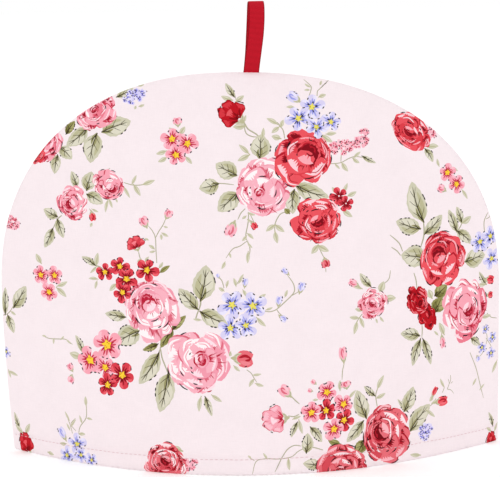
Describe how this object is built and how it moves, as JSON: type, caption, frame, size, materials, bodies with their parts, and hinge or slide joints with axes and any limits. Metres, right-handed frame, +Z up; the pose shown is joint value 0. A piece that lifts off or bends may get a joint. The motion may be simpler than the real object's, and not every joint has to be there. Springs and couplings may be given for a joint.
{
  "type": "tea cosy",
  "caption": "Padded fabric tea cosy: two dome panels sewn along their arched seam, open below on a stitched hem, with a ribbon hanging loop.",
  "frame": {"origin": "middle of the open bottom, on the surface that the hem stands on", "axes": "+X across the cosy to its right as seen from the front, +Y from the front panel to the back panel, +Z up"},
  "size_m": [0.322, 0.148, 0.2878],
  "materials": {
    "printed_cotton": "smooth wadded cotton, pale pink with roses",
    "red_ribbon": "ribbed grosgrain ribbon"
  },
  "bodies": {
    "root": {"front_panel": "printed_cotton", "back_panel": "printed_cotton", "hanging_loop": "red_ribbon"}
  },
  "joints": []
}
